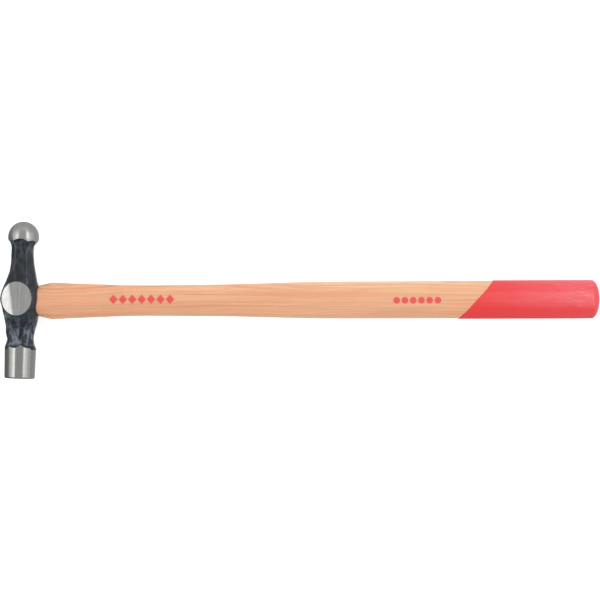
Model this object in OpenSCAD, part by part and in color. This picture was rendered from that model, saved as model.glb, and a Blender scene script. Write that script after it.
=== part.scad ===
// Small ball peen hammer: forged steel head, hickory handle wedged into the eye, dipped grip.
// The hammer lies on one cheek. +X runs along the handle towards the butt, +Y towards the ball
// and +Z up. The origin is on the lower cheek, below the point where the handle's axis crosses
// the axis of the head.

/* [Head] */
// Distance between the two ground cheeks
cheek_w = 17.4; // [17:0.1:17.8]
// Lean of the head towards the butt, in degrees from square to the handle
head_lean = 1.85; // [0:0.05:3]
// Slope of the crown side of each cheek, ground a second time, in degrees
cheek_slope = 18; // [10:1:20]
// Distance of that slope's edge from the axis of the head, towards the crown
cheek_slope_x = 5; // [4:0.1:6]
// Radius of the ball
ball_r = 8.05; // [7.8:0.05:8.2]
// Height of the ball's centre above the handle's axis
ball_up = 33.1; // [32.9:0.1:33.5]
// Radius of the turned poll at the striking face
face_r = 7.9; // [7.6:0.1:8]
// Radius of the turned poll where it meets the neck
poll_r = 8.2; // [8.05:0.05:8.3]
// Distance of the striking face below the handle's axis
face_down = 40.2; // [38:0.2:43]
// Rounding of the striking face's edge
face_edge = 0.9; // [0.5:0.1:1.5]

/* [Eye] */
// Length of the oval eye, along the head
eye_l = 14.4; // [13.5:0.1:15]
// Width of the oval eye, from cheek to cheek
eye_w = 8.4; // [7.6:0.1:9]
// Growth of the eye's half width at the top of the head
eye_flare = 0.7; // [0.3:0.1:1]
// How far below the crown of the head the handle is sawn off
saw_drop = 0.7; // [0.4:0.1:1.5]

/* [Handle] */
// Distance of the butt's end from the axis of the head
butt_x = 299.2; // [280:0.2:320]
// Depth of the round on the butt
butt_round = 4.2; // [3:0.1:6]
// Thickness of the coat on the dipped grip
coat_t = 0.3; // [0.25:0.05:0.4]
// Place along the handle where the coat ends, on the axis
dip_x = 234.8; // [225:0.2:250]
// Slant of the coat's edge across the handle's width, in degrees
dip_slant = 41.8; // [0:0.2:45]
// Slant of the coat's edge through the handle's thickness, in degrees
dip_tilt = 3.5; // [0:0.5:15]

/* [Wedges] */
// Depth of the wooden wedge in the tenon
wood_wedge_l = 14; // [10:0.5:15]
// Thickness of the wooden wedge at the top
wood_wedge_t = 2.2; // [1.8:0.1:2.6]
// Depth of the steel wedge in the tenon
steel_wedge_l = 9; // [7:0.5:11]
// Thickness of the steel wedge at the top
steel_wedge_t = 1.5; // [1.2:0.1:1.8]
// Width of the steel wedge, from cheek to cheek
steel_wedge_w = 7; // [6:0.2:7.6]

/* [Hidden] */
// Height of the axes of the head and the handle
axis_z = cheek_w / 2;
// Reach of the cutting blocks, past the ends of the head
over = 60;
// Thickness of a wedge at its point
tip = 0.3;

// Lines of the forging: [height along the head's axis, distance from it]. They flare out
// past the turned poll and the ball, which cut them off.
top_line = [
    [-42, 14], [-26.5, 9.4], [-24.2, 8.3], [-22.5, 7.7], [-20, 7], [-17, 7.6], [-12, 8.15],
    [-8, 9], [-4, 9.95], [1, 11], [4.5, 10.4], [8, 9.2], [12, 7.6], [16, 6.4], [20, 6],
    [27, 5.95], [30.3, 6.8], [31.5, 7.8], [33, 9.4], [42, 16]
];
under_line = [
    [-42, 14], [-26.5, 9.2], [-24.2, 8.1], [-22.5, 7.1], [-19, 6.75], [-15, 7.35], [-10.5, 8.65],
    [-6, 9.25], [0, 9.4], [6, 9.1], [10, 7.9], [14, 6.9], [20, 5.75], [25, 5.3], [28.3, 5.55],
    [30.3, 6.8], [31.5, 7.8], [33, 9.4], [42, 16]
];
cheek_line = [
    [-42, 14], [-26.5, 9.4], [-24.4, 8.2], [-22.5, 7.4], [-19, 6.7], [-14, 7], [-7.2, 8.8],
    [1.5, 10], [9.6, 8.8], [16, 6.7], [21, 5.9], [27.5, 5.7], [30.3, 6.5], [32, 7.8],
    [33.5, 9.4], [42, 16]
];
// Fullness of the corner facets against the mean of the facets beside them
under_corner = [
    [-42, 1], [-24, 1], [-19, 1.02], [-11, 1], [-6, 0.99], [1.5, 1.09], [8, 0.99], [12, 1.05],
    [20, 1.08], [42, 1.04]
];
top_corner = [
    [-42, 1.04], [-24, 1.08], [-19, 1.11], [-11, 1.12], [1.5, 1.5], [10, 1.28], [18, 1.12],
    [42, 1.04]
];
// Turn of the cheek facet about the head's axis, in degrees
cheek_turn = [[-42, 22], [-19, 22], [-13, 10], [-9, 2], [1, 0], [10, 2], [18, 8], [42, 9]];
// Sharpness of the ridges between the facets
ridge = [[-42, 40], [-16, 40], [-9, 12], [1.5, 9], [10, 12], [18, 40], [42, 40]];
// Lines of the bare handle: [place along it, half width] and [place along it, half thickness]
width_line = [
    [0, 7.5], [8.5, 7.85], [11, 8.4], [13.5, 9], [16.3, 9.45], [20, 9.3], [30, 8.9], [41, 8.5],
    [52, 8.1], [66, 7.92], [85, 8.08], [103, 8.22], [118, 8.6], [134, 9.05], [155, 9.5],
    [196, 9.65], [268, 9.7], [320, 9.65]
];
thick_line = [
    [0, 6.2], [8.5, 6.4], [16, 6.8], [30, 6.3], [66, 5.9], [103, 6.2], [134, 7.2], [155, 7.8],
    [196, 8.2], [268, cheek_w / 2 - coat_t], [320, cheek_w / 2 - coat_t]
];
// Fullness of the handle's section, 2 for an ellipse, and the angle between its corners
oval_power = 2.3;
oval_step = 15;
// Start of the handle's own shape, inside the eye, and the length of its shoulder
handle_start = 5;
shoulder = 21;
crown = top_line[9][1];
saw_x = -(crown - saw_drop);

// Smooth curve through a list of [place, value] points that never overshoots them
function slope(line, i) = (line[i + 1][1] - line[i][1]) / (line[i + 1][0] - line[i][0]);
function tangent(line, i) =
    i == 0 ? slope(line, 0) :
    i == len(line) - 1 ? slope(line, i - 1) :
    let (a = slope(line, i - 1), b = slope(line, i)) a * b <= 0 ? 0 : 2 * a * b / (a + b);
function span(line, x, i = 0) = i < len(line) - 2 && x > line[i + 1][0] ? span(line, x, i + 1) : i;
function along(line, x) =
    let (
        i = span(line, x),
        w = line[i + 1][0] - line[i][0],
        t = (x - line[i][0]) / w
    )
    (1 + 2 * t) * (1 - t) ^ 2 * line[i][1] + t * (1 - t) ^ 2 * w * tangent(line, i)
    + t ^ 2 * (3 - 2 * t) * line[i + 1][1] - t ^ 2 * (1 - t) * w * tangent(line, i + 1);

// Facets of the forging at height v: [direction, distance], from the underside over the cheek
function facets(v) =
    let (
        under = along(under_line, v),
        cheek = along(cheek_line, v),
        top = along(top_line, v),
        turn = along(cheek_turn, v)
    )
    [
        [0, under],
        [45 + 0.55 * turn, along(under_corner, v) * (under + cheek) / 2],
        [90 + turn, cheek],
        [135 + 0.5 * turn, along(top_corner, v) * (top + cheek) / 2],
        [180, top]
    ];
function push(f, a, power) = let (c = cos(a - f[0])) c > 0 ? (c / f[1]) ^ power : 0;
function total(list) = list * [for (item = list) 1];
// Distance from the head's axis to the forging in direction a, the same on both cheeks
function forged_r(v, a) =
    let (
        power = along(ridge, v),
        side = a > 180 ? 360 - a : a
    )
    total([for (f = facets(v)) push(f, side, power)]) ^ (-1 / power);

// Closed solid through equal rings of points
module rings_solid(rings) {
    n = len(rings[0]);
    last = len(rings) - 1;
    sides = [
        for (i = [0 : last - 1], j = [0 : n - 1])
            let (k = (j + 1) % n)
            each [
                [i * n + j, (i + 1) * n + j, (i + 1) * n + k],
                [i * n + j, (i + 1) * n + k, i * n + k]
            ]
    ];
    first_cap = [for (j = [0 : n - 1]) j];
    last_cap = [for (j = [n - 1 : -1 : 0]) last * n + j];
    polyhedron([for (ring = rings) each ring], concat(sides, [first_cap, last_cap]));
}

// The head's own frame: local +Z is the head's axis towards the ball, local +X the underside
module on_head() {
    translate([0, 0, axis_z]) rotate([0, 0, -head_lean]) rotate([-90, 0, 0]) children();
}

module forging() {
    step = 360 / 32;
    row = 1.5;
    low_end = top_line[0][0];
    high_end = top_line[len(top_line) - 1][0];
    heights = concat([low_end], [for (i = [-19 : 23]) i * row], [high_end]);
    rings_solid([
        for (v = heights)
            [for (a = [0 : step : 359]) let (r = forged_r(v, a)) [r * cos(a), r * sin(a), v]]
    ]);
}

// Everything the lathe leaves: the poll with its striking face, and the ball. Between them, from
// poll_top to neck_top, it stays clear of the forging.
module turned_limit() {
    wide = 20;
    poll_top = -22;
    neck_top = ball_up - ball_r / 2;
    rotate_extrude($fn = 96)
        intersection() {
            union() {
                polygon([
                    [0, -face_down], [face_r - face_edge, -face_down], [face_r, face_edge - face_down],
                    [poll_r, poll_top], [wide, poll_top], [wide, neck_top], [0, neck_top]
                ]);
                translate([face_r - face_edge, face_edge - face_down]) circle(face_edge, $fn = 48);
                translate([0, ball_up]) circle(ball_r, $fn = 96);
            }
            translate([0, -over]) square([over, 2 * over]);
        }
}

// Oval across the eye, its long side along the head
module eye_outline(grow) {
    r = eye_w / 2 + grow;
    reach = (eye_l - eye_w) / 2;
    for (s = [-1, 1]) translate([0, s * reach]) circle(r, $fn = 48);
    square([2 * r, 2 * reach], center = true);
}

// Solid on the handle's axis from x1 to x2, drawn as an outline with its Y across the handle
module along_handle(x1, x2) {
    translate([x1, 0, axis_z]) rotate([0, 90, 0]) linear_extrude(x2 - x1) children();
}

// The eye from x1 to x2: straight from the underside to the middle, then flared to the crown
module eye(x1, x2) {
    thin = 0.01;
    along_handle(x1, x2) eye_outline(0);
    hull() {
        along_handle(x1, x1 + thin) eye_outline(eye_flare * -x1 / crown);
        along_handle(-thin, 0) eye_outline(0);
    }
}

// What the second grind takes off the crown side of both cheeks
module second_grind() {
    slope_turn = 9;
    reach = 12;
    translate([0, 0, axis_z])
        for (m = [0, 1])
            mirror([0, 0, m])
                translate([-cheek_slope_x, 0, axis_z])
                    rotate([0, 0, slope_turn])
                        rotate([0, -cheek_slope, 0])
                            translate([-2 * reach, -reach, 0]) cube([2 * reach, 2 * reach, reach]);
}

module head_solid() {
    difference() {
        intersection() {
            on_head() intersection() {
                forging();
                turned_limit();
            }
            translate([-over, -over, 0]) cube([2 * over, 2 * over, cheek_w]);
        }
        second_grind();
    }
}

module hammer_head() {
    past = 2;
    color("dimgray")
        difference() {
            head_solid();
            eye(-crown - past, 2 * crown);
        }
}

// Handle section at x, grown by the coat
function oval(x, grow) =
    let (
        w = along(width_line, x) + grow,
        h = along(thick_line, x) + grow,
        rest = butt_x - coat_t + grow - x,
        k = rest < butt_round ? sqrt(1 - (1 - rest / butt_round) ^ 2) : 1,
        e = 2 / oval_power
    )
    [
        for (a = [0 : oval_step : 359])
            [
                x,
                k * w * sign(cos(a)) * abs(cos(a)) ^ e,
                axis_z + k * h * sign(sin(a)) * abs(sin(a)) ^ e
            ]
    ];

// Handle from x1 to the butt, with no tenon, grown by the coat
module blank(x1, grow) {
    short_row = 2;
    long_row = 9;
    long_start = shoulder + 5;
    end_x = butt_x - coat_t + grow;
    round_x = end_x - butt_round;
    places = concat(
        [for (x = [x1 : short_row : shoulder]) x],
        [for (x = [max(x1, long_start) : long_row : round_x - long_row / 2]) x],
        [for (a = [0 : 15 : 75]) round_x + butt_round * sin(a)],
        [end_x - 0.01]
    );
    rings_solid([for (x = places) oval(x, grow)]);
}

// Flat wedge driven from the saw cut: depth l, thickness t there and tip at the point. It stands
// proud of the cut until it is trimmed.
module wedge_outline(l, t) {
    proud = 1;
    top = (t + (t - tip) * proud / l) / 2;
    polygon([[saw_x - proud, -top], [saw_x + l, -tip / 2], [saw_x + l, tip / 2], [saw_x - proud, top]]);
}

// The wooden wedge before it is trimmed to the eye. It is also the slot that it opens.
module wood_wedge_bar() {
    translate([0, 0, axis_z]) rotate([90, 0, 0]) linear_extrude(2 * eye_l, center = true)
        wedge_outline(wood_wedge_l, wood_wedge_t);
}

module steel_wedge_bar() {
    barbs = 3;
    barb_r = 0.25;
    translate([0, 0, axis_z])
        linear_extrude(steel_wedge_w, center = true)
            difference() {
                wedge_outline(steel_wedge_l, steel_wedge_t);
                for (i = [1 : barbs], s = [-1, 1])
                    let (
                        f = i / (barbs + 1.5),
                        half = (steel_wedge_t * (1 - f) + tip * f) / 2
                    )
                    translate([saw_x + f * steel_wedge_l, s * (half + barb_r / 3)])
                        circle(barb_r, $fn = 24);
            }
}

// What fills the eye at the crown, sawn off and trimmed flush where the crown falls away
module tenon_end() {
    intersection() {
        eye(saw_x, handle_start);
        head_solid();
    }
}

module handle() {
    color("burlywood")
        difference() {
            union() {
                difference() {
                    blank(handle_start, 0);
                    head_solid();
                }
                along_handle(handle_start / 2, crown) eye_outline(0);
                tenon_end();
            }
            wood_wedge_bar();
            steel_wedge_bar();
        }
}

module wooden_wedge() {
    color("tan")
        difference() {
            intersection() {
                wood_wedge_bar();
                tenon_end();
            }
            steel_wedge_bar();
        }
}

module steel_wedge() {
    color("silver")
        intersection() {
            steel_wedge_bar();
            along_handle(saw_x, crown) square(cheek_w, center = true);
        }
}

module grip_coat() {
    coat_from = dip_x - 25;
    past = 5;
    color("tomato")
        intersection() {
            difference() {
                blank(coat_from, coat_t);
                blank(coat_from - past, 0);
            }
            translate([dip_x, 0, axis_z]) rotate([0, dip_tilt, -dip_slant])
                translate([0, -over, -over]) cube([2 * over, 2 * over, 2 * over]);
        }
}

hammer_head();
handle();
wooden_wedge();
steel_wedge();
grip_coat();
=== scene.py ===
import math

import bmesh
import bpy
import numpy as np
from mathutils import Matrix, Vector, noise


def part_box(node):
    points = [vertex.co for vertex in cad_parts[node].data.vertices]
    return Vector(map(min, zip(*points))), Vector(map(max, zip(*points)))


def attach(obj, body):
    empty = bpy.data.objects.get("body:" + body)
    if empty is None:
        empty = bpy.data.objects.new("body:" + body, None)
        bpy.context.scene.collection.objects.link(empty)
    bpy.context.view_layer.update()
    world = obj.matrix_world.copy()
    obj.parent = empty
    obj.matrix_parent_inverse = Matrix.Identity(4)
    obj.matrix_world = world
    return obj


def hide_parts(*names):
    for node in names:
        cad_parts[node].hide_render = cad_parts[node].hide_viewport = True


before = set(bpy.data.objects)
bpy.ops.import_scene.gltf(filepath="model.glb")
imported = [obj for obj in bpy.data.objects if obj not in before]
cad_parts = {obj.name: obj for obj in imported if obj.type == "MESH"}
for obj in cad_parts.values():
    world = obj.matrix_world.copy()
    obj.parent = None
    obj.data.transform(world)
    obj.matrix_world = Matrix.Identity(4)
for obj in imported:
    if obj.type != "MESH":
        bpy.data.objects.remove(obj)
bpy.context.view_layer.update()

# Sizes are in millimetres in the row frame: +X along the handle, +Y towards the ball, +Z up.
MM = 0.001

# ---- Sizes worked out from the frame

HEAD_HIGH = np.array(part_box("hammer_head")[1]) / MM
COAT_HIGH = np.array(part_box("grip_coat")[1]) / MM
HANDLE_LOW, HANDLE_HIGH = [np.array(corner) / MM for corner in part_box("handle")]
CHEEK_W = HEAD_HIGH[2]
AXIS_Z = CHEEK_W / 2
BUTT_X = COAT_HIGH[0]
COAT_T = COAT_HIGH[0] - HANDLE_HIGH[0]
SAW_X = HANDLE_LOW[0]

# ---- Sizes of the head

HEAD_LEAN = math.radians(1.85)
BALL_R = 8.05
BALL_UP = 33.1
FACE_R = 7.9
POLL_R = 8.2
FACE_DOWN = 40.2
FACE_EDGE = 0.9
POLL_TOP = -22
EYE_L = 14.4
EYE_W = 8.4
EYE_FLARE = 0.7
CROWN = 11.0

# Lines of the forging: [height along the head's axis, distance from it]
TOP_LINE = [
    [-42, 14], [-26.5, 9.4], [-24.2, 8.3], [-22.5, 7.7], [-20, 7], [-17, 7.6], [-12, 8.15],
    [-8, 9], [-4, 9.95], [1, 11], [4.5, 10.4], [8, 9.2], [12, 7.6], [16, 6.4], [20, 6],
    [27, 5.95], [30.3, 6.8], [31.5, 7.8], [33, 9.4], [42, 16],
]
UNDER_LINE = [
    [-42, 14], [-26.5, 9.2], [-24.2, 8.1], [-22.5, 7.1], [-19, 6.75], [-15, 7.35], [-10.5, 8.65],
    [-6, 9.25], [0, 9.4], [6, 9.1], [10, 7.9], [14, 6.9], [20, 5.75], [25, 5.3], [28.3, 5.55],
    [30.3, 6.8], [31.5, 7.8], [33, 9.4], [42, 16],
]
CHEEK_LINE = [
    [-42, 14], [-26.5, 9.4], [-24.4, 8.2], [-22.5, 7.4], [-19, 6.7], [-14, 7], [-7.2, 8.8],
    [1.5, 10], [9.6, 8.8], [16, 6.7], [21, 5.9], [27.5, 5.7], [30.3, 6.5], [32, 7.8],
    [33.5, 9.4], [42, 16],
]
# Fullness of the corner facets against the mean of the facets beside them
UNDER_CORNER = [
    [-42, 1], [-24, 1], [-19, 1.02], [-11, 1], [-6, 0.99], [1.5, 1.09], [8, 0.99], [12, 1.05],
    [20, 1.08], [42, 1.04],
]
TOP_CORNER = [
    [-42, 1.04], [-24, 1.08], [-19, 1.11], [-11, 1.12], [1.5, 1.5], [10, 1.28], [18, 1.12], [42, 1.04],
]
# Turn of the cheek facet about the head's axis, in degrees
CHEEK_TURN = [[-42, 22], [-19, 22], [-13, 10], [-9, 2], [1, 0], [10, 2], [18, 8], [42, 9]]
# Sharpness of the ridges between the facets
RIDGE = [[-42, 40], [-16, 40], [-9, 12], [1.5, 9], [10, 12], [18, 40], [42, 40]]

# Shares of the cheek facet's turn that the corner facets beside it follow
UNDER_CORNER_TURN, TOP_CORNER_TURN = 0.55, 0.5
# Heights between which the forging comes out of the turned poll and goes into the ball
POLL_CUT = (-28.0, -19.5)
BALL_CUT = (29.2, 33.1)

# The oval outline of a ground cheek: its middle and its half sizes, to the underside and up
DISC_U, DISC_V = -2.2, 1.2
DISC_HALF_U, DISC_HALF_V = 7.75, 8.7
# Where the cheek starts to slope towards the crown, how steeply, and how soft the bend is
CHEEK_SLOPE_U, CHEEK_SLOPE, CHEEK_BEND = -5.0, math.tan(math.radians(18)), 0.9
CHEEK_SLOPE_TURN = math.tan(math.radians(9))
# How far a cheek has fallen away 1 mm from its middle; the fall grows with the square
CHEEK_BOW_U, CHEEK_BOW_V = 0.0016, 0.0009

# The crease in the lower neck: its heights, and where it is at the lower and the upper one
CREASE_LOW, CREASE_HIGH = -17.5, -8.3
CREASE_U = (0.2, 3.6)

# Where the lacquer ends on the narrow sides of the poll, and how much to the side a point is
# (the cosine of its direction) where that starts and where it is reached
SIDE_EDGE = -25.2
SIDE_FROM, SIDE_TO = 0.62, 0.76

# Slots of the head's materials
LACQUER, TURNED, GROUND, EYE_WALL, BALL = range(5)

# ---- Sizes of the handle, its coat and the wedges

# Lines of the bare handle: [place along it, half width] and [place along it, half thickness]
WIDTH_LINE = [
    [0, 7.5], [8.5, 7.85], [11, 8.4], [13.5, 9], [16.3, 9.45], [20, 9.3], [30, 8.9], [41, 8.5],
    [52, 8.1], [66, 7.92], [85, 8.08], [103, 8.22], [118, 8.6], [134, 9.05], [155, 9.5],
    [196, 9.65], [268, 9.7], [320, 9.65],
]
THICK_LINE = [
    [0, 6.2], [8.5, 6.4], [16, 6.8], [30, 6.3], [66, 5.9], [103, 6.2], [134, 7.2], [155, 7.8],
    [196, 8.2], [268, CHEEK_W / 2 - COAT_T], [320, CHEEK_W / 2 - COAT_T],
]
OVAL_POWER = 2.3
BUTT_ROUND = 4.2
SHOULDER_X = 4.0
DIP_X = 234.8
DIP_SLANT = math.radians(41.8)
DIP_TILT = math.radians(3.5)
WOOD_WEDGE_L = 14.0
WOOD_WEDGE_T = 2.2
STEEL_WEDGE_L = 9.0
STEEL_WEDGE_T = 1.5
STEEL_WEDGE_W = 7.0
WEDGE_TIP = 0.3
BARBS = 3
# Air between the wood and the eye, air round a wedge, and how far a cutter stands out
EYE_AIR, WEDGE_AIR, CUTTER_OUT = 0.03, 0.02, 1

# ---- Sizes of the view

VIEW_SPAN, VIEW_X, VIEW_Y = 310.74, 144.08, 0.04
VIEW_TURN = math.radians(-0.18)
# Distance of the camera and of the panels beside the head, and the floor's middle, in metres
VIEW_UP = 1.8
FLOOR_X = 0.144

# ---- Curves and sections


def along(line, x):
    """Smooth curve through [place, value] points that never overshoots them."""
    places, values = np.array(line, float).T
    steps = np.diff(places)
    slopes = np.diff(values) / steps
    inner = np.zeros(len(slopes) - 1)
    same = slopes[:-1] * slopes[1:] > 0
    a, b = slopes[:-1][same], slopes[1:][same]
    inner[same] = 2 * a * b / (a + b)
    tangents = np.concatenate([slopes[:1], inner, slopes[-1:]])
    x = np.clip(np.asarray(x, float), places[0], places[-1])
    i = np.clip(np.searchsorted(places, x, "right") - 1, 0, len(steps) - 1)
    w = steps[i]
    t = (x - places[i]) / w
    low = (1 + 2 * t) * (1 - t) ** 2 * values[i] + t * (1 - t) ** 2 * w * tangents[i]
    high = t ** 2 * (3 - 2 * t) * values[i + 1] - t ** 2 * (1 - t) * w * tangents[i + 1]
    return low + high


def forged_r(v, a):
    """Distance from the head's axis to the forging at height v, in direction a, in radians."""
    under, cheek, top = along(UNDER_LINE, v), along(CHEEK_LINE, v), along(TOP_LINE, v)
    turn = np.radians(along(CHEEK_TURN, v))
    power = along(RIDGE, v)
    side = np.abs((a + math.pi) % (2 * math.pi) - math.pi)
    facets = [
        (0 * turn, under),
        (
            math.radians(45) + UNDER_CORNER_TURN * turn,
            along(UNDER_CORNER, v) * (under + cheek) / 2,
        ),
        (math.radians(90) + turn, cheek),
        (math.radians(135) + TOP_CORNER_TURN * turn, along(TOP_CORNER, v) * (top + cheek) / 2),
        (math.pi + 0 * turn, top),
    ]
    total = 0
    for direction, distance in facets:
        push = np.maximum(np.cos(side - direction), 1e-6) / distance
        total = total + push ** power
    return total ** (-1 / power)


def crease_u(v):
    """Where the forging's crease crosses the cheek side of the lower neck, at height v."""
    t = min(max((v - CREASE_LOW) / (CREASE_HIGH - CREASE_LOW), 0), 1)
    return CREASE_U[0] + (CREASE_U[1] - CREASE_U[0]) * t * t * (3 - 2 * t)


def crease_depth(u, w, v):
    """Depth of the crease: a narrow wavering fold down both cheek sides of the lower neck."""
    deepest, half_width, run_out, ease = 0.38, 0.75, 4, 1.5
    side, waver, waver_length = 3.0, 0.9, 1.6
    if not CREASE_LOW - run_out < v < CREASE_HIGH or abs(w) < side:
        return 0.0
    aside = waver * noise.noise(Vector((v / waver_length, math.copysign(side, w), 0.5)))
    far = abs(u - crease_u(v) - aside) / half_width
    ends = min(1.0, (CREASE_HIGH - v) / ease, (v - CREASE_LOW + run_out) / ease)
    return deepest * ends * max(0.0, 1 - far * far)


def hammered(v, a, r):
    """The forging with its shallow dents and waves, always cut into it."""
    wave, wave_depth = 4.0, 0.13
    dent, dent_depth, dent_squash, dent_shift = 1.5, 0.03, 0.6, 40
    upper_rough, lower_rough = 0.8, 2.0
    out = np.array(r, float)
    for index in np.ndindex(out.shape):
        x, y, z = r[index] * math.cos(a[index]), r[index] * math.sin(a[index]), v[index]
        broad = noise.noise(Vector((x, y, z)) / wave)
        fine = noise.noise(Vector((x + dent_shift, y, z * dent_squash)) / dent)
        rough = upper_rough if z > 0 else lower_rough
        out[index] -= rough * (wave_depth * (0.5 + broad) + dent_depth * (0.5 + fine))
        out[index] -= crease_depth(x, y, z)
    return out


def cheek_drop(u, v):
    """How far a ground cheek falls away: a little all round, and more towards the crown."""
    bow = CHEEK_BOW_U * u * u + CHEEK_BOW_V * v * v
    fall = max(0.0, CHEEK_SLOPE_U - CHEEK_SLOPE_TURN * v - u + CHEEK_BEND)
    return bow + CHEEK_SLOPE * (math.hypot(fall, CHEEK_BEND) - CHEEK_BEND)


def to_disc(u, w, v):
    """Height w over the head's axis, eased so that the ground cheek gets its oval outline."""
    reach, steep, deepest = 0.35, 3.2, 2.6
    far = math.hypot((u - DISC_U) / DISC_HALF_U, (v - DISC_V) / DISC_HALF_V)
    weight = max(0.0, 1 - abs(far - 1) / reach)
    weight = weight * weight * (3 - 2 * weight)
    wanted = AXIS_Z - cheek_drop(u, v) + steep * (1 - far)
    if abs(w) < AXIS_Z - deepest:
        return w
    return math.copysign(abs(w) + weight * (wanted - abs(w)), w)


def head_point(r, a, v):
    """Point of the head's surface in its own frame, in metres."""
    u, w = r * math.cos(a), r * math.sin(a)
    return Vector((u, to_disc(u, w, v), v)) * MM


def poll_r(v):
    """Radius of the turned poll, tapering towards the striking face."""
    t = (v + FACE_DOWN - FACE_EDGE) / (POLL_TOP + FACE_DOWN - FACE_EDGE)
    return FACE_R + (POLL_R - FACE_R) * t


def ball_r(v):
    return np.sqrt(np.maximum(BALL_R ** 2 - (v - BALL_UP) ** 2, 0))


def crossing(a, low, high, turned):
    """Height between low and high where the forging comes out through the turned surface."""
    low, high = np.full_like(a, low), np.full_like(a, high)
    sign = np.sign(forged_r(high, a) - turned(high))
    for _ in range(40):
        middle = (low + high) / 2
        same = np.sign(forged_r(middle, a) - turned(middle)) == sign
        high = np.where(same, middle, high)
        low = np.where(same, low, middle)
    return (low + high) / 2


def oval_r(x, a, grow):
    """Distance from the handle's axis to its surface at x, in direction a from +Y to +Z."""
    w, h = along(WIDTH_LINE, x) + grow, along(THICK_LINE, x) + grow
    p = OVAL_POWER
    r = (np.abs(np.cos(a) / w) ** p + np.abs(np.sin(a) / h) ** p) ** (-1 / p)
    rest = np.clip((BUTT_X - COAT_T + grow - x) / BUTT_ROUND, 0, 1)
    return r * np.sqrt(1 - (1 - rest) ** 2)


def eye_r(a, grow):
    """Distance from the handle's axis to the eye's wall: straight sides and round ends."""
    r = EYE_W / 2 + grow
    reach = (EYE_L - EYE_W) / 2
    c, s = np.abs(np.cos(a)), np.maximum(np.abs(np.sin(a)), 1e-9)
    round_end = reach * c + np.sqrt(np.maximum(r ** 2 - (reach * s) ** 2, 0))
    return np.where(r * c / s <= reach, r / s, round_end)


def eye_grow(x):
    return np.maximum(0, EYE_FLARE * -np.asarray(x, float) / CROWN)


# ---- Mesh building


def new_object(name, bm, materials):
    mesh = bpy.data.meshes.new(name)
    bmesh.ops.recalc_face_normals(bm, faces=bm.faces)
    bm.to_mesh(mesh)
    bm.free()
    obj = bpy.data.objects.new(name, mesh)
    bpy.context.scene.collection.objects.link(obj)
    for material in materials:
        mesh.materials.append(material)
    return obj


def ring_mesh(rings, slots=None):
    """Closed surface through equal rings, each a list of points. slots gives each band's material."""
    bm = bmesh.new()
    rows = [[bm.verts.new(p) for p in ring] for ring in rings]
    count = len(rows[0])
    for i, (low, high) in enumerate(zip(rows, rows[1:])):
        for j in range(count):
            k = (j + 1) % count
            face = bm.faces.new((low[j], low[k], high[k], high[j]))
            face.smooth = True
            if slots:
                face.material_index = slots[i]
    for row, slot in ((rows[0], 0), (rows[-1], -1)):
        middle = bm.verts.new(sum((v.co for v in row), Vector()) / count)
        for j in range(count):
            face = bm.faces.new((row[j], row[(j + 1) % count], middle))
            face.smooth = True
            if slots:
                face.material_index = slots[slot]
    return bm


def cut(obj, other, operation, keep=False):
    """Replaces obj's mesh with the exact boolean of the two."""
    modifier = obj.modifiers.new("cut", "BOOLEAN")
    modifier.object = other
    modifier.operation = operation
    modifier.solver = "EXACT"
    modifier.material_mode = "TRANSFER"
    bpy.context.view_layer.update()
    depsgraph = bpy.context.evaluated_depsgraph_get()
    mesh = bpy.data.meshes.new_from_object(obj.evaluated_get(depsgraph))
    obj.modifiers.clear()
    old = obj.data
    obj.data = mesh
    bpy.data.meshes.remove(old)
    if not keep:
        bpy.data.objects.remove(other)


def crisp(obj, degrees):
    """Smooth shading, with edges sharper than this left sharp."""
    obj.data.shade_smooth()
    obj.data.set_sharp_from_angle(angle=math.radians(degrees))


def head_frame():
    """The head's own frame: local X to the underside, local Y down, local Z to the ball."""
    lean = Matrix.Rotation(-HEAD_LEAN, 4, "Z")
    return Matrix.Translation((0, 0, AXIS_Z * MM)) @ lean @ Matrix.Rotation(-math.pi / 2, 4, "X")


def on_handle(x, a, r):
    """Point of the row frame, in metres, at distance r from the handle's axis in direction a."""
    return Vector((x, r * math.cos(a), AXIS_Z + r * math.sin(a))) * MM


# ---- Pieces


def lacquer_edge(a):
    """Height where the lacquer ends on the poll: at the lathe's cut, and lower on the narrow sides."""
    side = np.clip((np.abs(np.cos(a)) - SIDE_FROM) / (SIDE_TO - SIDE_FROM), 0, 1)
    cut_at = crossing(a, *POLL_CUT, poll_r)
    return cut_at + (np.minimum(cut_at, SIDE_EDGE) - cut_at) * side * side * (3 - 2 * side)


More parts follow.
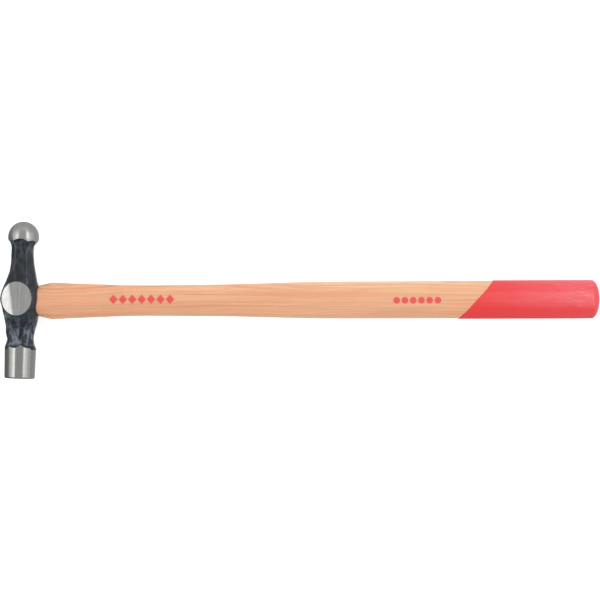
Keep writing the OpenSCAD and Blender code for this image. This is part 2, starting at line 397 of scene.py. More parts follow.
def head_rings(turns, neck_rows):
    """Rings of the head from the striking face to the ball, and the material slot of each band."""
    steps, ball_rows, fade_in = 8, 36, 1.2
    a = np.linspace(0, 2 * math.pi, turns, endpoint=False)
    neck_low = lacquer_edge(a)
    neck_high = crossing(a, *BALL_CUT, ball_r)
    heights, radii, slots = [], [], []

    def add(v, r, slot):
        heights.append(v + 0 * a)
        radii.append(r + 0 * a)
        slots.append(slot)

    for r in (1.5, 4.0, FACE_R - FACE_EDGE):
        add(-FACE_DOWN, r, TURNED)
    for step in range(1, steps + 1):
        corner = step * math.pi / (2 * steps)
        add(
            FACE_EDGE * (1 - math.cos(corner)) - FACE_DOWN,
            FACE_R - FACE_EDGE + FACE_EDGE * math.sin(corner),
            TURNED,
        )
    start = FACE_EDGE - FACE_DOWN
    for step in range(1, steps + 1):
        v = start + (neck_low - start) * step / steps
        add(v, poll_r(v), TURNED)
    slots[-1] = LACQUER
    for step in range(1, neck_rows):
        v = neck_low + (neck_high - neck_low) * step / neck_rows
        fade = np.minimum(1, np.minimum(v - neck_low, neck_high - v) / fade_in)
        smooth = forged_r(v, a)
        rough = smooth + (hammered(v, a, smooth) - smooth) * fade
        add(v, np.where(v < POLL_TOP, np.minimum(rough, poll_r(v)), rough), LACQUER)
    rise = np.arcsin((neck_high - BALL_UP) / BALL_R)
    for step in range(ball_rows):
        angle = rise + (math.pi / 2 - rise) * step / (ball_rows + 0.5)
        add(BALL_UP + BALL_R * np.sin(angle), BALL_R * np.cos(angle), BALL)
    rings = [
        [head_point(r[j], a[j], v[j]) for j in range(turns)]
        for v, r in zip(heights, radii)
    ]
    return rings, slots


def cheek_limit(materials):
    """Slab between the two ground cheeks. Past low_v and high_v its thickness stays the same."""
    half_width, half_length = 13, 46
    low_v, high_v = -12, 14
    us = np.linspace(-half_width, half_width, 79)
    vs = np.linspace(-half_length, half_length, 231)
    bm = bmesh.new()
    sheets = []
    for side in (-1, 1):
        rows = []
        for v in vs:
            near_v = min(max(v, low_v), high_v)
            row = []
            for u in us:
                w = side * (AXIS_Z - cheek_drop(u, near_v))
                row.append(bm.verts.new(Vector((u, w, v)) * MM))
            rows.append(row)
        sheets.append(rows)
        for low, high in zip(rows, rows[1:]):
            for i in range(len(us) - 1):
                face = bm.faces.new((low[i], low[i + 1], high[i + 1], high[i]))
                face.smooth = True
                face.material_index = GROUND
    edge = [(0, i) for i in range(len(us))]
    edge += [(i, len(us) - 1) for i in range(1, len(vs))]
    edge += [(len(vs) - 1, i) for i in range(len(us) - 2, -1, -1)]
    edge += [(i, 0) for i in range(len(vs) - 2, 0, -1)]
    for (i, j), (k, l) in zip(edge, edge[1:] + edge[:1]):
        bm.faces.new((sheets[0][i][j], sheets[0][k][l], sheets[1][k][l], sheets[1][i][j]))
    limit = new_object("cheek_limit", bm, materials)
    limit.matrix_world = head_frame()
    return limit


def eye_solid(x1, x2, shrink, materials, slot):
    """The eye's space from x1 to x2, made smaller all round by shrink."""
    turns, flared_rows, straight_rows = 96, 8, 6
    a = np.linspace(0, 2 * math.pi, turns, endpoint=False)
    xs = np.concatenate([np.linspace(x1, 0, flared_rows), np.linspace(0, x2, straight_rows)[1:]])
    rings = []
    for x in xs:
        r = eye_r(a, float(eye_grow(x)) - shrink)
        rings.append([on_handle(x, a[j], r[j]) for j in range(turns)])
    bm = ring_mesh(rings, [slot] * (len(rings) - 1))
    return new_object("eye_solid", bm, materials)


def make_head(materials):
    past_head = 16
    rings, slots = head_rings(turns=192, neck_rows=140)
    bm = ring_mesh(rings, slots)
    head = new_object("head_forging", bm, materials)
    head.matrix_world = head_frame()
    cut(head, cheek_limit(materials), "INTERSECT")
    cut(head, eye_solid(-past_head, past_head, 0, materials, EYE_WALL), "DIFFERENCE")
    crisp(head, 28)
    return head


def tenon_top(y):
    """Where the tenon ends: sawn off square, and trimmed flush where the crown falls away."""
    flush = 0.25
    v = y * math.cos(HEAD_LEAN) + SAW_X * math.sin(HEAD_LEAN)
    crown_x = y * math.tan(HEAD_LEAN) - float(along(TOP_LINE, v)) / math.cos(HEAD_LEAN)
    return max(SAW_X, crown_x + flush)


def wooden_bar(top, slack, material):
    """Bar of the wooden wedge across the eye. top gives where it starts at each y."""
    x2 = SAW_X + WOOD_WEDGE_L + slack
    reach = EYE_L * 0.65
    rings = []
    for y in np.linspace(-reach, reach, 61):
        x1 = top(y)
        share = (x1 - SAW_X) / WOOD_WEDGE_L
        h1 = (WOOD_WEDGE_T * (1 - share) + WEDGE_TIP * share) / 2 + slack
        h2 = WEDGE_TIP / 2 + slack
        corners = ((x1, h1), (x2, h2), (x2, -h2), (x1, -h1))
        rings.append([Vector((x, y, AXIS_Z + h)) * MM for x, h in corners])
    return new_object("wooden_bar", ring_mesh(rings), [material])


def barbed_outline(proud, slack):
    """Outline of the steel wedge as (place along the handle, half thickness), top to point."""
    point_x = SAW_X + STEEL_WEDGE_L
    crest, notch, rise, notch_depth = 0.5, 0.35, 0.3, 0.16

    def half(x):
        share = (x - SAW_X) / STEEL_WEDGE_L
        return (STEEL_WEDGE_T * (1 - share) + WEDGE_TIP * share) / 2 + slack

    points = [(SAW_X - proud, half(SAW_X - proud))]
    for i in range(BARBS):
        x = SAW_X + STEEL_WEDGE_L * (i + 1) / (BARBS + 1.5)
        points += [
            (x - crest, half(x - crest)),
            (x - notch, half(x) - notch_depth),
            (x + rise, half(x + rise)),
        ]
    return points + [(point_x + slack, half(point_x))]


def steel_bar(proud, slack, material):
    """Bar of the steel wedge, its flat faces square to the long side of the eye."""
    half_outline = barbed_outline(proud, slack)
    outline = half_outline + [(x, -h) for x, h in reversed(half_outline)]
    reach = STEEL_WEDGE_W / 2 + slack
    rows = [AXIS_Z + side * reach for side in (-1, -0.6, -0.2, 0.2, 0.6, 1)]
    bm = bmesh.new()
    rings = [[bm.verts.new(Vector((x, h, z)) * MM) for x, h in outline] for z in rows]
    count = len(outline)
    for low, high in zip(rings, rings[1:]):
        for i in range(count):
            k = (i + 1) % count
            bm.faces.new((low[i], low[k], high[k], high[i]))
    ends = [bm.faces.new(rings[0]), bm.faces.new(rings[-1])]
    bmesh.ops.triangulate(bm, faces=ends)
    return new_object("steel_bar", bm, [material])


def make_steel_wedge(material):
    wedge = steel_bar(0, 0, material)
    wedge.name = "barbed_wedge"
    crisp(wedge, 30)
    return wedge


def make_wooden_wedge(material):
    wedge = wooden_bar(tenon_top, 0, material)
    wedge.name = "hardwood_wedge"
    past_point = 12
    room = eye_solid(SAW_X - CUTTER_OUT, past_point, EYE_AIR, [material], 0)
    cut(wedge, room, "INTERSECT")
    cut(wedge, steel_bar(CUTTER_OUT, WEDGE_AIR, material), "DIFFERENCE")
    crisp(wedge, 30)
    return wedge


def make_handle(material, head):
    """Tenon, shoulder, waist and grip in one piece, cut to fit the head and the wedges."""
    turns, round_rows = 128, 16
    fine_to = 24
    a = np.linspace(0, 2 * math.pi, turns, endpoint=False)
    rings = []
    rim = eye_r(a, float(eye_grow(SAW_X)) - EYE_AIR)
    for share in (0.2, 0.4, 0.6, 0.75, 0.86, 0.94):
        ys = share * rim * np.cos(a)
        rings.append([on_handle(tenon_top(ys[j]), a[j], share * rim[j]) for j in range(turns)])
    for step in np.linspace(0, 1, 12):
        ring = []
        for j in range(turns):
            start = tenon_top(rim[j] * math.cos(a[j]))
            x = start * (1 - step)
            r = eye_r(a[j], float(eye_grow(x)) - EYE_AIR)
            ring.append(on_handle(x, a[j], float(r)))
        rings.append(ring)
    for x in np.linspace(0, SHOULDER_X, 5)[1:]:
        r = eye_r(a, -EYE_AIR)
        rings.append([on_handle(x, a[j], r[j]) for j in range(turns)])
    end = BUTT_X - COAT_T
    round_start = end - BUTT_ROUND
    angles = [step * math.pi / (2 * round_rows) for step in range(1, round_rows)]
    xs = np.concatenate([
        np.linspace(SHOULDER_X + 0.05, fine_to, 60),
        np.linspace(fine_to, round_start, 190)[1:],
        [end - BUTT_ROUND * (1 - math.sin(angle)) for angle in angles],
    ])
    for x in xs:
        r = oval_r(x, a, 0)
        rings.append([on_handle(x, a[j], r[j]) for j in range(turns)])
    handle = new_object("hickory_handle", ring_mesh(rings), [material])
    cut(handle, head, "DIFFERENCE", keep=True)
    cut(handle, wooden_bar(lambda y: SAW_X - CUTTER_OUT, WEDGE_AIR, material), "DIFFERENCE")
    cut(handle, steel_bar(CUTTER_OUT, WEDGE_AIR, material), "DIFFERENCE")
    crisp(handle, 35)
    mark_joint_shade_and_dirt(handle)
    return handle


def mark_joint_shade_and_dirt(handle):
    """Writes how close each point of the wood is to the steel, for the dark line in the joint: painted
    shade, with some dirt.
    """
    reach, clean_from = 1.1, 14
    layer = handle.data.attributes.new("joint_shade_and_dirt", "FLOAT", "POINT")
    c, s = math.cos(HEAD_LEAN), math.sin(HEAD_LEAN)
    for vertex, value in zip(handle.data.vertices, layer.data):
        x, y, z = vertex.co / MM
        if x > clean_from:
            continue
        if x < 0:
            a = math.atan2(z - AXIS_Z, y)
            gap = float(eye_r(a, float(eye_grow(x)))) - math.hypot(y, z - AXIS_Z)
        else:
            u, v, w = x * c - y * s, x * s + y * c, z - AXIS_Z
            gap = math.hypot(u, w) - float(forged_r(np.array(v), np.array(math.atan2(w, u))))
        value.value = max(0.0, 1 - max(0.0, gap) / reach)


def dip_edge(a):
    """Place along the handle where the coat ends, in direction a: a slanted plane's edge."""
    x = DIP_X + 0 * a
    for _ in range(12):
        r = oval_r(x, a, COAT_T)
        y, z = r * np.cos(a), r * np.sin(a)
        x = DIP_X + math.tan(DIP_SLANT) * y + math.tan(DIP_TILT) * z / math.cos(DIP_SLANT)
    return x


def make_coat(material):
    """The dipped skin: a rounded lip, the outside to the butt, and the inside on the wood."""
    turns, round_rows, lip_rows = 160, 14, 8
    lip, waver, lobes = 0.7, 0.25, 2.5
    a = np.linspace(0, 2 * math.pi, turns, endpoint=False)
    wave = [noise.noise(Vector((math.cos(t) * lobes, math.sin(t) * lobes, 7.0))) for t in a]
    edge = dip_edge(a) + waver * np.array(wave)
    start = BUTT_X - BUTT_ROUND
    rings = []

    def add(x, grow):
        r = oval_r(x, a, grow)
        rings.append([on_handle(x[j], a[j], r[j]) for j in range(turns)])

    corners = [math.pi / 2 * step / round_rows for step in range(1, round_rows)]
    for corner in reversed(corners):
        add(start - COAT_T + BUTT_ROUND * math.sin(corner) + 0 * a, 0.0)
    for t in np.linspace(1, 0, 40):
        add(edge + (start - COAT_T - edge) * t, 0.0)
    for step in range(1, lip_rows + 1):
        t = step / lip_rows
        add(edge + lip * (1 - math.cos(t * math.pi / 2)), COAT_T * math.sin(t * math.pi / 2))
    for t in np.linspace(0, 1, 120)[1:]:
        add(edge + lip + (start - edge - lip) * t, COAT_T)
    for corner in corners:
        add(start + BUTT_ROUND * math.sin(corner) + 0 * a, COAT_T)
    coat = new_object("dipped_coat", ring_mesh(rings), [material])
    crisp(coat, 60)
    return coat


# ---- Materials


class Nodes:
    """Short way to lay out a material's nodes."""

    def __init__(self, name):
        self.material = bpy.data.materials.new(name)
        self.material.use_nodes = True
        self.tree = self.material.node_tree
        self.tree.nodes.clear()
        self.shader = self.add("ShaderNodeBsdfPrincipled")
        output = self.add("ShaderNodeOutputMaterial")
        self.link(self.shader.outputs["BSDF"], output.inputs["Surface"])
        self.place = self.add("ShaderNodeTexCoord").outputs["Object"]

    def add(self, kind, **values):
        node = self.tree.nodes.new(kind)
        for key, value in values.items():
            setattr(node, key, value)
        return node

    def link(self, source, target):
        self.tree.links.new(source, target)

    def feed(self, socket, value):
        if isinstance(value, bpy.types.NodeSocket):
            self.link(value, socket)
        else:
            socket.default_value = value

    def set(self, **values):
        """Sets the shader's sockets: Base_Color=..., Roughness=..."""
        for key, value in values.items():
            self.feed(self.shader.inputs[key.replace("_", " ")], value)

    def math(self, operation, a, b=0.0, c=0.0, clamp=False):
        node = self.add("ShaderNodeMath", operation=operation, use_clamp=clamp)
        for socket, value in zip(node.inputs, (a, b, c)):
            self.feed(socket, value)
        return node.outputs[0]

    def scaled(self, lengths, place=None):
        """Coordinates in which a feature of these lengths, in millimetres, is one unit."""
        node = self.add("ShaderNodeVectorMath", operation="MULTIPLY")
        self.feed(node.inputs[0], place or self.place)
        node.inputs[1].default_value = [1 / (MM * n) for n in lengths]
        return node.outputs[0]

    def noise(self, lengths, detail=2.0, rough=0.5, place=None):
        node = self.add("ShaderNodeTexNoise")
        self.feed(node.inputs["Vector"], self.scaled(lengths, place))
        node.inputs["Scale"].default_value = 1.0
        node.inputs["Detail"].default_value = detail
        node.inputs["Roughness"].default_value = rough
        return node.outputs["Fac"]

    def span(self, value, low, high, out_low=0.0, out_high=1.0, smooth=True):
        node = self.add("ShaderNodeMapRange")
        if smooth:
            node.interpolation_type = "SMOOTHSTEP"
        for socket, item in zip(node.inputs, (value, low, high, out_low, out_high)):
            self.feed(socket, item)
        return node.outputs[0]

    def blend(self, factor, a, b):
        node = self.add("ShaderNodeMix", data_type="RGBA")
        self.feed(node.inputs["Factor"], factor)
        for socket, value in zip((node.inputs[6], node.inputs[7]), (a, b)):
            self.feed(socket, value)
        return node.outputs[2]

    def axes(self, place=None):
        """X, Y and Z in millimetres."""
        node = self.add("ShaderNodeSeparateXYZ")
        self.feed(node.inputs[0], self.scaled((1, 1, 1), place))
        return node.outputs[0], node.outputs[1], node.outputs[2]

    def between(self, value, low, high):
        """One where the value lies between low and high."""
        above = self.math("GREATER_THAN", value, low)
        return self.math("MULTIPLY", above, self.math("LESS_THAN", value, high))

    def distance(self, a, b):
        squares = self.math("ADD", self.math("MULTIPLY", a, a), self.math("MULTIPLY", b, b))
        return self.math("SQRT", squares)

    def bump(self, height, strength, distance=0.1):
        node = self.add("ShaderNodeBump")
        node.inputs["Strength"].default_value = strength
        node.inputs["Distance"].default_value = distance * MM
        self.feed(node.inputs["Height"], height)
        self.link(node.outputs[0], self.shader.inputs["Normal"])


def black_lacquer():
    """Thin black lacquer on the forging: wear patches through it on the necks, which also carry painted
    highlights, fine lines of painted highlight on the lower neck, and painted shade in the fold.

    Heights are in millimetres along the head: the lower neck reaches up to -7, the upper one from 23.
    """
    black, deep, crease_shade_black = (0.012, 0.014, 0.015, 1), (0.004, 0.004, 0.008, 1), (0.002, 0.002, 0.004, 1)
    greenish, violet = (0.018, 0.030, 0.033, 1), (0.028, 0.026, 0.039, 1)
    # Pale blue-greys: the first for wear patches with painted highlights, the second for lines of
    # painted highlight.
    bare_and_highlight_blue, line_highlight_blue = (0.135, 0.160, 0.205, 1), (0.075, 0.090, 0.120, 1)
    n = Nodes("black_lacquer")
    x, _, z = n.axes()
    patch = n.noise((2.8, 2.8, 5.5), 1, 0.5)
    hue = n.noise((3.0, 3.0, 6.0), 1, 0.5)
    streak = n.noise((1.3, 1.3, 4.5), 3, 0.6)
    fine = n.noise((0.5, 0.5, 1.2), 2, 0.6)
    contour = n.math("ABSOLUTE", n.math("SUBTRACT", n.noise((5.0, 5.0, 1.3), 1, 0.5), 0.5))
    low_neck = n.span(z, -11, -7, 1.0, 0.0)
    lowest = n.math("MULTIPLY", n.span(z, -16, -12, 1.0, 0.25), low_neck)
    lowest = n.math("MULTIPLY", lowest, n.span(z, -23.6, -21.8))
    # Beside the crown on the lower neck's ridge: a wear patch with a painted highlight in it.
    shoulder = n.math("MULTIPLY", n.span(z, -10, -8.5), n.span(z, -7, -5, 1.0, 0.0))
    shoulder = n.math("MULTIPLY", shoulder, n.span(x, -7.5, -6, 0.7, 0.0))
    high_neck = n.span(z, 23, 26, 0.0, 0.30)
    tint = n.blend(n.span(hue, 0.42, 0.58), greenish, violet)
    color = n.blend(n.span(patch, 0.38, 0.62), black, tint)
    uneven = n.math("ADD", low_neck, high_neck)
    dark = n.math("MULTIPLY", n.span(streak, 0.50, 0.38), uneven)
    color = n.blend(dark, color, deep)
    # Wear and painted highlights: pale blue-grey patches on both necks, lacquer worn through and
    # reflections of the lamps painted on the facets.
    wear_and_highlight = n.math("ADD", n.math("MULTIPLY", streak, 0.5), n.math("MULTIPLY", patch, 0.5))
    wear_and_highlight = n.math("MULTIPLY", n.span(wear_and_highlight, 0.45, 0.60), n.math("ADD", lowest, high_neck))
    wear_and_highlight = n.math("MAXIMUM", wear_and_highlight, n.math("MULTIPLY", shoulder, n.span(patch, 0.3, 0.55)))
    color = n.blend(wear_and_highlight, color, bare_and_highlight_blue)
    # Painted highlights: fine pale lines along noise contours on the lower neck.
    edges = n.math("MULTIPLY", n.span(contour, 0.008, 0.03, 0.55, 0.0), n.span(z, -17, -13, 0.0, 1.0))
    color = n.blend(n.math("MULTIPLY", edges, low_neck), color, line_highlight_blue)
    # Painted shade: the fold along the crease is darkened and made duller, as if lying in its own
    # shadow.
    path = n.span(z, CREASE_LOW, CREASE_HIGH, CREASE_U[0], CREASE_U[1])
    off = n.math("ADD", n.math("SUBTRACT", x, path), n.span(fine, 0.3, 0.7, -0.6, 0.6))
    fold = n.math("MULTIPLY", n.span(n.math("ABSOLUTE", off), 0.5, 1.4, 1.0, 0.0), low_neck)
    fold = n.math("MULTIPLY", fold, n.span(z, -22, -19))
    n.set(
        Base_Color=n.blend(fold, color, crease_shade_black),
        Roughness=n.math("ADD", n.span(patch, 0.3, 0.7, 0.18, 0.30), n.math("MULTIPLY", fold, 0.4)),
        Metallic=0.0,
        IOR=1.42,
        Specular_Tint=(0.88, 0.96, 1.0, 1),
    )
    dents = n.math("ADD", n.math("MULTIPLY", fine, 0.2), patch)
    n.bump(n.math("MULTIPLY", dents, n.span(low_neck, 0, 1, 0.35, 1.0)), 0.8, 0.22)
    return n.material


def ground_steel(name, line_lengths, base, roughness, stretch, uneven=0.25, depth=0.04, punched=False):
    """Bright ground steel with fine lines. stretch is how far its highlights run across the lines."""
    broad, darker, dot_depth = 3.5, 0.66, 6.0
    n = Nodes(name)
    lines = n.noise(line_lengths, 3, 0.6)
    broad_lines = n.noise([broad * length for length in line_lengths], 2, 0.6)
    cloud = n.noise((3, 3, 3), 2, 0.5)
    dull = n.math("ADD", n.math("MULTIPLY", lines, 0.35), n.span(broad_lines, 0.3, 0.7, 0.0, uneven))
    height = lines
    if punched:
        dots = punched_dots(n)
        dull = n.math("MAXIMUM", dull, dots)
        height = n.math("SUBTRACT", lines, n.math("MULTIPLY", dots, dot_depth))
    n.set(
        Base_Color=n.blend(dull, base, tuple(darker * c for c in base[:3]) + (1,)),
        Metallic=1.0,
        Roughness=n.span(cloud, 0.2, 0.8, roughness - 0.04, roughness + 0.04),
        Anisotropic=stretch,
        Anisotropic_Rotation=0.25,
    )
    tangent = n.add("ShaderNodeTangent", direction_type="RADIAL", axis="Z")
    n.link(tangent.outputs[0], n.shader.inputs["Tangent"])
    n.bump(height, depth, 0.015)
    return n.material


def punched_dots(n):
    """Two short rows of plain punched dots on the cheeks, along the head."""
    x, _, z = n.axes()
    pitch, radius, first, last = 1.7, 0.55, -4.4, 5.8
    row, other_row = 3.7, 1.5
    cell = n.math("FRACT", n.math("DIVIDE", n.math("SUBTRACT", z, first), pitch))
    along_row = n.math("MULTIPLY", n.math("SUBTRACT", cell, 0.5), pitch)
    off_row = n.math("ABSOLUTE", n.math("ADD", x, row))
    off_row = n.math("MINIMUM", off_row, n.math("ABSOLUTE", n.math("ADD", x, other_row)))
    inside = n.between(z, first, last)
    dot = n.span(n.distance(along_row, off_row), radius / 2, radius, 1.0, 0.0)
    return n.math("MULTIPLY", dot, inside)


def printed_marks(n, x, y, z):
    """The two plain marks printed on the handle's upper side: a row of lozenges and one of dots."""
    start, pitch, count, half_height, middle = 45.3, 4.864, 7, 2.5, 0.63
    apart = 2.1  # at 2 the lozenges would touch
    cell = n.math("FRACT", n.math("DIVIDE", n.math("SUBTRACT", x, start), pitch))
    aside = n.math("MULTIPLY", n.math("ABSOLUTE", n.math("SUBTRACT", cell, 0.5)), apart)
    above = n.math("DIVIDE", n.math("ABSOLUTE", n.math("SUBTRACT", y, middle)), half_height)
    lozenge = n.span(n.math("ADD", aside, above), 0.94, 1.06, 1.0, 0.0)
    lozenges = n.math("MULTIPLY", lozenge, n.between(x, start, start + count * pitch))
    start, pitch, count, radius, middle = 191.8, 4.25, 6, 1.75, -0.3
    cell = n.math("FRACT", n.math("DIVIDE", n.math("SUBTRACT", x, start), pitch))
    aside = n.math("MULTIPLY", n.math("SUBTRACT", cell, 0.5), pitch)
    reach = n.distance(aside, n.math("SUBTRACT", y, middle))
    dot = n.span(reach, radius - 0.15, radius + 0.15, 1.0, 0.0)
    dots = n.math("MULTIPLY", dot, n.between(x, start, start + count * pitch))
    upper = n.math("GREATER_THAN", z, AXIS_Z)
    return n.math("MULTIPLY", n.math("MAXIMUM", lozenges, dots), upper)


def hickory():
    """Hickory: yearly rings that waver across the width, fibres, short pores and the two prints."""
    pinkish, yellowish = (0.765, 0.412, 0.232, 1), (0.785, 0.480, 0.270, 1)
    tan, late_wood, pore_brown = (0.73, 0.325, 0.175, 1), (0.50, 0.200, 0.100, 1), (0.33, 0.13, 0.06, 1)
    # The dark brown is painted shade with some dirt, for the joint with the steel.
    ink_red, shade_dirt_brown = (0.70, 0.045, 0.050, 1), (0.06, 0.022, 0.012, 1)
    # How the rings lie: across the handle, tilted in the section, running out, and swinging, in mm
    across_y, across_z, run_out, slow_swing, quick_swing = 0.94, 0.34, 0.012, 7.0, 1.6
    n = Nodes("hickory")
    x, y, z = n.axes()
    slow = n.noise((150, 40, 40), 1, 0.5)
    wobble = n.noise((45, 6, 6), 2, 0.5)
    warped = n.add("ShaderNodeCombineXYZ")
    across = n.math("ADD", n.math("MULTIPLY", y, across_y), n.math("MULTIPLY", z, across_z))
    across = n.math("SUBTRACT", across, n.math("MULTIPLY", x, run_out))
    across = n.math("ADD", across, n.math("MULTIPLY", slow, slow_swing))
    across = n.math("ADD", across, n.math("MULTIPLY", wobble, quick_swing))
    n.feed(warped.inputs[0], n.math("MULTIPLY", x, MM))
    n.feed(warped.inputs[1], n.math("MULTIPLY", across, MM))
    n.feed(warped.inputs[2], n.math("MULTIPLY", z, MM))
    place = warped.outputs[0]
    ring = n.noise((170, 0.55, 8), 2, 0.55, place)
    band = n.noise((110, 2.8, 14), 1, 0.5, place)
    fibre = n.noise((24, 0.36, 1.0), 3, 0.6, place)
    fleck = n.noise((3.4, 0.16, 0.3), 2, 0.7, place)
    rings = n.span(ring, 0.42, 0.66)
    pale = n.span(n.math("ADD", n.math("MULTIPLY", x, 0.0028), n.math("MULTIPLY", y, 0.06)), 0.25, 1.1)
    light = n.blend(pale, pinkish, yellowish)
    light = n.blend(n.span(band, 0.35, 0.7, 0.0, 0.75), light, tan)
    shade = n.math("ADD", n.math("MULTIPLY", rings, 0.38), n.span(fibre, 0.40, 0.72, 0.0, 0.32))
    color = n.blend(shade, light, late_wood)
    porous = n.math("ADD", n.math("MULTIPLY", rings, 0.45), 0.12)
    pore = n.math("MULTIPLY", n.span(fleck, 0.60, 0.72), porous)
    color = n.blend(pore, color, pore_brown)
    ink = n.math("MULTIPLY", printed_marks(n, x, y, z), n.span(fibre, 0.3, 0.8, 0.96, 0.78))
    color = n.blend(ink, color, ink_red)
    # Painted shade with some dirt: the wood darkens where it comes close to the steel, where the joint
    # lies in shadow.
    joint_shade_and_dirt = n.add("ShaderNodeAttribute", attribute_name="joint_shade_and_dirt").outputs["Fac"]
    color = n.blend(n.span(joint_shade_and_dirt, 0.35, 1.0, 0.0, 0.92), color, shade_dirt_brown)
    n.set(
        Base_Color=color,
        Roughness=n.span(fibre, 0.2, 0.8, 0.46, 0.58),
        Metallic=0.0,
        IOR=1.48,
    )
    n.bump(n.math("SUBTRACT", n.math("MULTIPLY", fibre, 0.5), pore), 0.35, 0.06)
    return n.material


def red_coat():
    """Glossy red dip with a painted pink highlight haze and pale scratches towards the butt, mostly on
    the ball's side, towards the lamps.
    """
    deep_red, clear_red = (0.68, 0.010, 0.011, 1), (0.75, 0.017, 0.018, 1)
    # Pink for the painted highlight haze and for the scratches.
    sheen_and_scuffs_pink = (0.82, 0.42, 0.46, 1)
    n = Nodes("red_coat")
    x, y, _ = n.axes()
    streak = n.noise((40, 0.9, 0.9), 3, 0.6)
    scratch = n.noise((7, 0.4, 0.4), 3, 0.6)
    haze = n.noise((16, 3.5, 3.5), 2, 0.5)
    peel = n.noise((2.2, 1.6, 1.6), 2, 0.5)
    off_end = n.span(x, BUTT_X - 5, BUTT_X - 1, 1.0, 0.0)
    # Painted highlight haze: pink patches towards the butt, with scratches near the end, stronger on
    # the ball's side, towards the lamps.
    sheen_and_scuffs = n.math("MULTIPLY", n.span(x, BUTT_X - 75, BUTT_X), n.span(haze, 0.25, 0.7, 0.10, 0.20))
    scuffed = n.span(scratch, 0.56, 0.70, 0.0, 0.36)
    scuffed = n.math("MULTIPLY", n.span(x, BUTT_X - 30, BUTT_X - 8), scuffed)
    sheen_and_scuffs = n.math("MULTIPLY", n.math("ADD", sheen_and_scuffs, scuffed), n.span(y, -6, -1, 0.2, 1.0))
    sheen_and_scuffs = n.math("MULTIPLY", sheen_and_scuffs, off_end)
    color = n.blend(streak, deep_red, clear_red)
    n.set(
        Base_Color=n.blend(sheen_and_scuffs, color, sheen_and_scuffs_pink),
        Roughness=n.span(streak, 0.3, 0.7, 0.32, 0.42),
        Metallic=0.0,
        IOR=1.68,
        Specular_Tint=(0.96, 0.95, 1.0, 1),
    )
    n.bump(n.math("ADD", streak, n.math("MULTIPLY", peel, 0.5)), 0.35, 0.09)
    return n.material


def wedge_steel():
    dark, light = (0.30, 0.29, 0.28, 1), (0.48, 0.47, 0.46, 1)
    n = Nodes("wedge_steel")
    cloud = n.noise((1.5, 1.5, 1.5), 3, 0.6)
    n.set(
        Base_Color=n.blend(cloud, dark, light),
        Metallic=1.0,
        Roughness=n.span(cloud, 0.3, 0.7, 0.35, 0.55),
    )
    n.bump(cloud, 0.3, 0.05)
    return n.material


def wedge_wood():
    dark, light = (0.46, 0.27, 0.13, 1), (0.62, 0.40, 0.21, 1)
    n = Nodes("wedge_wood")
    fibre = n.noise((9, 0.35, 0.35), 3, 0.6)
    n.set(
        Base_Color=n.blend(fibre, dark, light),
        Roughness=0.6,
    )
    n.bump(fibre, 0.4, 0.06)
    return n.material


def pale_floor():
    n = Nodes("pale_floor")
    n.set(Base_Color=(0.90, 0.90, 0.90, 1), Roughness=0.9)
    n.set(Emission_Color=(1, 1, 1, 1), Emission_Strength=0.55)
    return n.material


# ---- Scene


def make_floor():
    bm = bmesh.new()
    bmesh.ops.create_circle(bm, cap_ends=True, radius=4.0, segments=64)
    floor = new_object("floor", bm, [pale_floor()])
    floor.location = (FLOOR_X, 0, 0)
    floor.visible_glossy = False
    return floor


def panel(name, location, target, size, radiance):
    """Flat rectangular softbox. Its power is worked out from how bright its face is."""
    light = bpy.data.lights.new(name, "AREA")
    light.shape = "RECTANGLE"
    light.size, light.size_y = size
    light.energy = radiance * math.pi * size[0] * size[1]
    obj = bpy.data.objects.new(name, light)
    bpy.context.scene.collection.objects.link(obj)
    obj.location = location
    obj.rotation_euler = (Vector(target) - Vector(location)).to_track_quat("-Z", "Y").to_euler()
    return obj


def tilted_panel(name, low, high, radiance):
    """Long softbox facing the head, between two angles off overhead, positive towards the butt."""
    length, upwards = 1.8, 0.1
    lean = math.radians((low + high) / 2)
    location = (VIEW_UP * math.sin(lean), upwards, VIEW_UP * math.cos(lean))
    width = 2 * VIEW_UP * math.tan(math.radians((high - low) / 2))
    panel(name, location, (0, 0, 0), (length, width), radiance)


def make_lights():
    tilted_panel("left_inner_panel", -50, -34, 2.1)
    tilted_panel("left_middle_panel", -63, -50, 1.2)
    tilted_panel("left_outer_panel", -84, -63, 0.65)
    tilted_panel("right_inner_panel", 28, 60, 0.95)
    tilted_panel("right_outer_panel", 60, 86, 0.35)
    panel("over_panel", (0.62, 0.285, 0.90), (0.62, 0.285, 0), (0.40, 0.60), 2.9)
    panel("far_panel", (FLOOR_X, 1.9, 1.0), (FLOOR_X, 0, 0), (2.4, 0.7), 0.5)


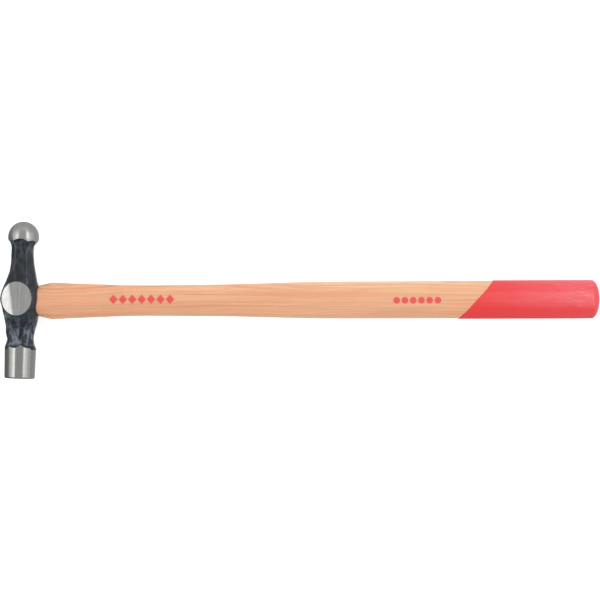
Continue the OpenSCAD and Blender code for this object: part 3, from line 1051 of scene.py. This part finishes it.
def make_world():
    """Pale surroundings, darker below the horizon towards the crown and the striking face."""
    dark_at, pale_at, dark, pale = -1.35, -0.35, 0.28, 0.75
    world = bpy.data.worlds.new("studio")
    bpy.context.scene.world = world
    world.use_nodes = True
    tree = world.node_tree
    background = tree.nodes["Background"]
    background.inputs["Color"].default_value = (0.98, 0.99, 1.0, 1)
    place = tree.nodes.new("ShaderNodeTexCoord")
    side = tree.nodes.new("ShaderNodeVectorMath")
    side.operation = "DOT_PRODUCT"
    side.inputs[1].default_value = (0.9, 0.8, 1)
    fade = tree.nodes.new("ShaderNodeMapRange")
    for socket, value in zip(fade.inputs[1:5], (dark_at, pale_at, dark, pale)):
        socket.default_value = value
    tree.links.new(place.outputs["Generated"], side.inputs[0])
    tree.links.new(side.outputs["Value"], fade.inputs[0])
    tree.links.new(fade.outputs[0], background.inputs["Strength"])


def make_camera():
    """Straight above the middle of the hammer, turned so little that the handle just rises."""
    data = bpy.data.cameras.new("camera")
    data.sensor_width = 36.0
    data.lens = data.sensor_width * (VIEW_UP - AXIS_Z * MM) / (VIEW_SPAN * MM)
    camera = bpy.data.objects.new("camera", data)
    bpy.context.scene.collection.objects.link(camera)
    camera.location = (VIEW_X * MM, VIEW_Y * MM, VIEW_UP)
    camera.rotation_euler = (0, 0, VIEW_TURN)
    bpy.context.scene.camera = camera


def build():
    poll_gray, ball_gray = (0.335, 0.33, 0.32, 1), (0.405, 0.40, 0.39, 1)
    cheek_gray = (0.47, 0.465, 0.455, 1)
    round_lines, cheek_lines = (40, 40, 0.12), (0.15, 9, 7)
    lacquer = black_lacquer()
    head_materials = [
        lacquer,
        ground_steel("turned_steel", round_lines, poll_gray, 0.21, 0.8),
        ground_steel("cheek_steel", cheek_lines, cheek_gray, 0.30, 0.0, 0.65, 0.12, True),
        lacquer,
        ground_steel("ball_steel", round_lines, ball_gray, 0.33, 0.8),
    ]
    head = make_head(head_materials)
    steel_wedge = make_steel_wedge(wedge_steel())
    wooden_wedge = make_wooden_wedge(wedge_wood())
    handle = make_handle(hickory(), head)
    coat = make_coat(red_coat())
    for piece, node, slot in (
        (head, "hammer_head", "head_steel"),
        (handle, "handle", "hickory"),
        (wooden_wedge, "wooden_wedge", "wedge_wood"),
        (steel_wedge, "steel_wedge", "wedge_steel"),
        (coat, "grip_coat", "red_coat"),
    ):
        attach(piece, "root")
        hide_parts(node)
    make_floor()


build()
make_lights()
make_world()
make_camera()
bpy.context.scene.view_settings.view_transform = "Standard"
